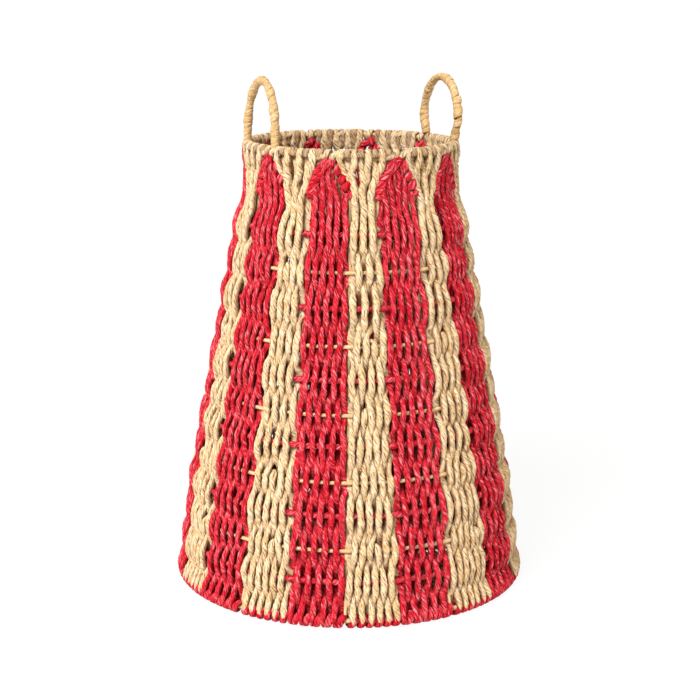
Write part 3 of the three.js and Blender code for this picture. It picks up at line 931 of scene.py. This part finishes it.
def shoulder_rope(random, centre, side):
    """A short rope beside an arch, from the arch's wire up to the rim."""
    front = side < 0
    foot = [(0.6, SHOULDER_START), (1.8, 358)] if front else [(-0.6, SHOULDER_START), (-1.2, 358)]
    line = np.concatenate([foot, rim_end(random, front)[3:]])
    along = lengths_along(line)
    line = at_lengths(line, along, np.arange(0, along[-1], ROPE_STEP))
    height = line[:, 1]
    angle, at = arch_curve(np.linspace(0, 1, 60))
    beside_arch = STRIPE - np.interp(SHOULDER_START + 3, at, angle)
    foot_angle = beside_arch - SHOULDER_GAP / middle_radius(SHOULDER_START)
    rim_angle = 3.5 * RIM_STEP
    risen = np.clip((height - SHOULDER_START) / SHOULDER_RISE, 0, 1)
    arc = side * (foot_angle + (rim_angle - foot_angle) * risen) * middle_radius(height)
    pitch = np.full(len(height), SHOULDER_PITCH)
    return wall_rope(random, centre, line, arc, pitch, SHOULDER_WIDEST)


# Where the ropes of a red stripe end under the arch, from its left side to its right: the height
# below the arch's point, and the distance to the right of the stripe's middle.
RED_ENDS = [(24, -14.6), (18.5, -12.4), (13, -9.2), (8.5, -5.8), (5, -2.4)]
RED_ENDS += [(6, 0.2), (9.5, 2.8), (14, 5.9), (20, 10.2), (25, 13.6)]


def red_stripe(random, pair):
    centre = (2 * pair + 1) * STRIPE
    parts = []
    for number, (drop, end_arc) in enumerate(RED_ENDS):
        front_first = number % 2 == 0
        end_height = ARCH_TOP - drop + random.uniform(-1, 1)
        top = arch_end(not front_first, end_height)
        line = weave_line(random, front_first, -1, top, RED_LOOP)
        height = line[:, 1]
        place = number - (RED_ROPES - 1) / 2
        middle, pitch = red_band(height)
        arc = middle + place * pitch + edge_sway(2 * place / RED_ROPES, line[:, 0])
        arc = arc + (end_arc + random.uniform(-0.8, 0.8) - arc) * eased(height, 322, end_height)
        at_edge = number in (0, RED_ROPES - 1)
        parts.append(wall_rope(random, centre, line, arc, pitch, RED_WIDEST, at_edge))
    parts += arch_wraps(random, centre)
    make_piece(f"red_stripe_{pair + 1:02d}", parts, red_rope, "red_rope")


# Bent wires and the red rope wound round their arches


def setback(height):
    """How far a rib is inside the middle of the wall."""
    at_foot = eased(height, BOTTOM_RING_HEIGHT + 4, 36)
    at_arch = eased(-height, -(ARCH_START - 2), -(SHOULDER_HEIGHT + 6))
    return RIB_SETBACK * at_foot * at_arch


def arch_line(centre, rib_start):
    """The wire over a red stripe, from the height rib_start of one rib to that of the other."""
    angle, height = arch_curve(np.linspace(0, 1, 24))
    rib = np.arange(rib_start, ARCH_START, 2.0)
    angle = np.concatenate([red_half(rib), angle])
    height = np.concatenate([rib, height])
    left = wall_points(centre - angle, -setback(height), height)
    right = wall_points(centre + angle, -setback(height), height)
    return np.concatenate([left, right[-2::-1]])


# A wound rope is pressed on its wire by 1 less this, as a share of half its depth.
PRESSED_ON = 0.92

# The most that half its width can be, and how its width wanders from turn to turn
WIDEST_TURN = 3.4
TURN_WANDER = (2.3, 0.1)
POINTS_IN_TURN = 20


def frame_along(line, at):
    """Points at these lengths along a line, and the line's direction there."""
    along = lengths_along(line)
    slope = unit(np.gradient(line, axis=0))
    return at_lengths(line, along, at), unit(at_lengths(slope, along, at))


def winding(random, line, starts, half_depths, wire_radius, lay, tail=0.15, cover=0.53):
    """A rope wound round a wire. starts are the places along it where each turn begins.

    tail is the share of a turn that goes on past the first start and the last. cover is the
    rope's half width as a share of the distance between two turns.
    """
    turns = np.arange(len(starts))
    turn = np.arange(-tail, len(starts) - 1 + tail, 1 / POINTS_IN_TURN)
    pitch = np.interp(turn, turns[:-1] + 0.5, np.diff(starts))
    depth = np.interp(turn, turns, half_depths)
    centre, tangent = frame_along(line, np.interp(turn, turns, starts))
    outward = centre * [1, 1, 0]
    outward = unit(outward - (outward * tangent).sum(-1, keepdims=True) * tangent)
    sideways = np.cross(tangent, outward)
    angle = (turn * TURN)[:, None]
    reach = (wire_radius + depth * PRESSED_ON)[:, None]
    points = centre + reach * (outward * np.cos(angle) + sideways * np.sin(angle))
    width = np.minimum(pitch * cover, WIDEST_TURN) * (1 + wander(random, turn, *TURN_WANDER))
    return tube(points, tangent, width, depth, lay, OTHER_TAPER)


# The close turns and the long ones: how many, below the second number, and half their depth
CLOSE_TURNS = (5, 8)
LOOSE_TURNS = (3, 5)
CLOSE_DEPTH = 1.6
LOOSE_DEPTH = 1.85


def arch_wraps(random, centre):
    """Close turns up one side of the arch, a few long ones down the other, and ropes over them."""
    line = arch_line(centre, ARCH_START - 3)
    whole = lengths_along(line)[-1]
    close_count = int(random.integers(*CLOSE_TURNS))
    steps = whole * 0.5 / close_count * random.uniform(0.8, 1.2, close_count)
    close = 0.5 + np.concatenate([[0], np.cumsum(steps)])
    loose_count = int(random.integers(*LOOSE_TURNS))
    step = (whole - 2.5 - close[-1]) / loose_count
    loose = close[-1] + step * (np.arange(loose_count) + 1)
    loose[:-1] += random.uniform(-1, 1, loose_count - 1)
    starts = np.concatenate([close, loose])
    depths = np.repeat([CLOSE_DEPTH, LOOSE_DEPTH], [len(close), len(loose)])
    depths = depths * random.uniform(0.88, 1.12, len(depths))
    turns = winding(random, line, starts, depths, RIB_RADIUS, Lay(random, *ARCH_LAY))
    return [turns, *arch_strands(random, line)]


# The ropes over the turns: where they start and end, as shares of the arch, how far beside the
# wire they are, how far outside it and how much more halfway
STRAND_STARTS = (0.27, 0.36)
STRAND_ENDS = (0.5, 0.58)
STRAND_SIDES = (-2.4, 0.2, 2.6)
STRAND_LIFT = 2.3
STRAND_RISE = 1.4
STRAND_HALVES = (1.75, 1.25)


def arch_strands(random, line):
    """Ropes laid over the turns, along the upper end of the arch's first side."""
    whole = lengths_along(line)[-1]
    parts = []
    for side in STRAND_SIDES:
        start, end = random.uniform(*STRAND_STARTS), random.uniform(*STRAND_ENDS)
        at = np.arange(start * whole, end * whole, ROPE_STEP)
        centre, tangent = frame_along(line, at)
        outward = unit(centre * [1, 1, 0])
        sideways = unit(np.cross(tangent, outward))
        rise = np.sin(np.linspace(0, math.pi, len(at)))[:, None]
        across = (side + wander(random, at, 22, 0.5))[:, None]
        points = centre + outward * (STRAND_LIFT + STRAND_RISE * rise) + sideways * across
        parts.append(tube(points, sideways, *STRAND_HALVES, Lay(random, *ARCH_LAY), OTHER_TAPER))
    return parts


def make_wire(random, node, points, across, half, closed=True):
    """A wire with thin natural paper wound close round it, nearly smooth."""
    part = tube(points, across, half, half, Lay(random, *WIRE_LAY), closed=closed)
    make_piece(node, [part], natural_wound, "natural_wound_wire")


def bent_wire(random, pair):
    centre = (2 * pair + 1) * STRIPE
    line = arch_line(centre, BOTTOM_RING_HEIGHT + RING_RADIUS + 0.3)
    outward = unit(line * [1, 1, 0])
    across = np.cross(unit(np.gradient(line, axis=0)), outward)
    make_wire(random, f"bent_wire_{pair + 1:02d}", line, across, RIB_RADIUS, closed=False)


def circle(radius, height, count):
    angle = np.arange(count) * TURN / count
    return angle, round_points(radius, angle, np.full(count, float(height)))


UPWARD = np.array([[0.0, 0, 1]])
HOOP_POINTS = 560
RING_POINTS = 240


def hoop(random, height, name):
    half = hoop_half(name) + HOOP_PAPER
    angle, points = circle(middle_radius(height) - 0.3, height, HOOP_POINTS)
    if name.startswith("red"):
        for wave in random.integers(20, 60, 4):
            points[:, 2] += 0.14 * np.sin(wave * angle + random.uniform(0, TURN))
        half = half * (1 + 0.05 * np.sin(37 * angle + random.uniform(0, TURN)))
        part = tube(points, UPWARD, half, half, Lay(random, *HOOP_LAY), closed=True)
        make_piece(name, [part], red_wound, "red_wound_wire")
    else:
        make_wire(random, name, points, UPWARD, half)


def ring(random, node):
    height = centre_height(node)
    points = circle(middle_radius(height), height, RING_POINTS)[1]
    make_wire(random, node, points, UPWARD, RING_RADIUS)


# Bindings round the rings. Each has the reach of its turns, outwards and up, and the half width and
# half depth of its rope.
BASE_REACH = (4.9, 4.2)
BASE_HALVES = (3.1, 1.7)
RIM_REACH = (3.6, 3.5)
RIM_HALVES = (2.75, RIM_DEPTH)
POINTS_IN_RING_TURN = 18


def ring_winding(random, stations, ring_height, reach, halves):
    """A rope wound round a ring. Each station is the angle of a turn's outer side."""
    lay = Lay(random, *BINDING_LAY)
    count = len(stations)
    turn = np.arange(count * POINTS_IN_RING_TURN) / POINTS_IN_RING_TURN
    all_round = np.append(stations, stations[0] + TURN)
    angle = np.interp(turn, np.arange(count + 1), all_round)
    around = turn * TURN
    radius = middle_radius(ring_height) + reach[0] * np.cos(around)
    points = round_points(radius, angle, ring_height + reach[1] * np.sin(around))
    width = halves[0] * (1 + wander(random, turn, 7.3, 0.1))
    return tube(points, round_wall(angle), width, halves[1], lay, closed=True)


def base_binding(random):
    """Red rope round the bottom ring, with its turns between the ropes that come down over it."""
    radius = middle_radius(BOTTOM_RING_HEIGHT)
    middle, pitch = natural_band(BOTTOM_RING_HEIGHT, NATURAL_ROPES)
    natural_arcs = middle + np.arange(2 - NATURAL_ROPES / 2, NATURAL_ROPES / 2, 2) * pitch
    natural_arcs = np.append(natural_arcs - pitch / 2, natural_arcs[-1] + 1.5 * pitch)
    middle, pitch = red_band(BOTTOM_RING_HEIGHT)
    red_arcs = middle + np.arange(1.5 - RED_ROPES / 2, RED_ROPES / 2, 2) * pitch
    starts = np.arange(PAIRS)[:, None] * 2 * STRIPE
    both = [starts + natural_arcs / radius, starts + STRIPE + red_arcs / radius]
    stations = np.hstack(both).ravel()
    part = ring_winding(random, stations, BOTTOM_RING_HEIGHT, BASE_REACH, BASE_HALVES)
    make_piece("base_binding", [part], red_rope, "red_rope")


def rim_binding(random):
    """Natural rope round the top ring, between the ropes of the stripes that reach it."""
    starts = np.arange(PAIRS)[:, None] * RIM_ELEMENTS
    stations = (starts + [4.5, 5.5]).ravel() * RIM_STEP
    part = ring_winding(random, stations, TOP_RING_HEIGHT, RIM_REACH, RIM_HALVES)
    make_piece("rim_binding", [part], natural_rope, "natural_rope")


# Floor: how far its rings of rope are inside the wall's middle and apart, how far they swing, and
# their half width and half depth
FLOOR_INSET = 7.0
FLOOR_PITCH = 4.5
FLOOR_SWING = 3.1
FLOOR_HALVES = (3.0, 1.85)


def floor_weave(random):
    """Rings of natural rope, which go over and under the ten spokes in turn."""
    edge = middle_radius(BOTTOM_RING_HEIGHT) - FLOOR_INSET
    parts = []
    for index, radius in enumerate(np.arange(edge, 6, -FLOOR_PITCH)):
        count = max(24, int(TURN * radius / 3.0))
        angle, points = circle(radius, BOTTOM_RING_HEIGHT, count)
        points[:, 2] += FLOOR_SWING * (-1) ** index * np.cos(PAIRS / 2 * angle)
        lay = Lay(random, *FLOOR_LAY)
        outward = unit(points * [1, 1, 0])
        parts.append(tube(points, outward, *FLOOR_HALVES, lay, closed=True))
    make_piece("floor_weave", parts, natural_rope, "natural_rope")


# Handles

HANDLE_RISE = 51
HANDLE_WIRE_RADIUS = 1.95
HANDLE_TURNS = 26

# How uneven the turns of a handle's strip are: their lengths along the wire, and half its depth
HANDLE_STEPS = (0.6, 1.4)
HANDLE_DEPTHS = (0.45, 1.25)

# How far the line of a handle's wire goes on into the rim, below the strip
HANDLE_FOOT = 1.5

# For each handle: the degrees round the rim to its middle and from there to each leg, the height
# of the spreading legs over the rim, how much they spread, as a share of their span, and how far
# the top leans in over the mouth
HANDLES = {"left": (180, 20, 9, 0.0, 1.5), "right": (-6, 21.5, 17, 0.2, -1.5)}


def handle_line(side):
    """The middle of a handle's wire, from one leg over the top to the other."""
    middle_angle, leg_angle, straight, bulge, top_lean = HANDLES[side]
    radius = float(middle_radius(TOP_RING_HEIGHT))
    feet = [
        radius * np.array([math.cos(angle), math.sin(angle)])
        for angle in np.radians([middle_angle - leg_angle, middle_angle + leg_angle])
    ]
    middle, half_span = (feet[0] + feet[1]) / 2, (feet[1] - feet[0]) / 2
    leg = np.linspace(0, 1, 8)[:-1]
    leg_spread = 1 + bulge * (1 - np.cos(leg * math.pi)) / 2
    angle = np.linspace(math.pi, 0, 60)
    spread = np.concatenate([-leg_spread, (1 + bulge) * np.cos(angle), leg_spread[::-1]])
    leg_rise = leg * straight
    arch_rise = straight + (HANDLE_RISE - straight) * np.sin(angle)
    rise = np.concatenate([leg_rise, arch_rise, leg_rise[::-1]])
    lean = top_lean * rise / HANDLE_RISE
    flat = middle + spread[:, None] * half_span - lean[:, None] * unit(middle)
    line = np.column_stack([flat, RIM_HEIGHT + rise])
    into_rim = [0, 0, HANDLE_FOOT]
    return np.concatenate([[line[0] - into_rim], line, [line[-1] - into_rim]])


def handle_wrap(random, side):
    line = handle_line(side)
    whole = lengths_along(line)[-1]
    steps = random.uniform(*HANDLE_STEPS, HANDLE_TURNS)
    starts = np.concatenate([[0], np.cumsum(steps)]) / steps.sum()
    starts = starts * (whole - 2 * HANDLE_FOOT) + HANDLE_FOOT
    depths = random.uniform(*HANDLE_DEPTHS, HANDLE_TURNS + 1)
    lay = Lay(random, *HANDLE_LAY)
    part = winding(random, line, starts, depths, HANDLE_WIRE_RADIUS, lay, tail=0.2, cover=0.62)
    make_piece(f"{side}_handle_wrap", [part], handle_paper, "handle_strip")


def make_basket():
    random = np.random.default_rng(7)
    for pair in range(PAIRS):
        natural_stripe(random, pair)
        red_stripe(random, pair)
        bent_wire(random, pair)
    for height, name in HOOPS:
        hoop(random, height, name)
    ring(random, "bottom_ring")
    ring(random, "top_ring")
    base_binding(random)
    rim_binding(random)
    floor_weave(random)
    for side in HANDLES:
        handle_wrap(random, side)
    for node in ("floor_cross", "left_handle_wire", "right_handle_wire"):
        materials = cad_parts[node].data.materials
        materials.clear()
        materials.append(natural_wound)


bpy.context.scene.view_settings.view_transform = "Standard"
make_camera()
make_key_light()
make_world()
make_floor()
make_basket()
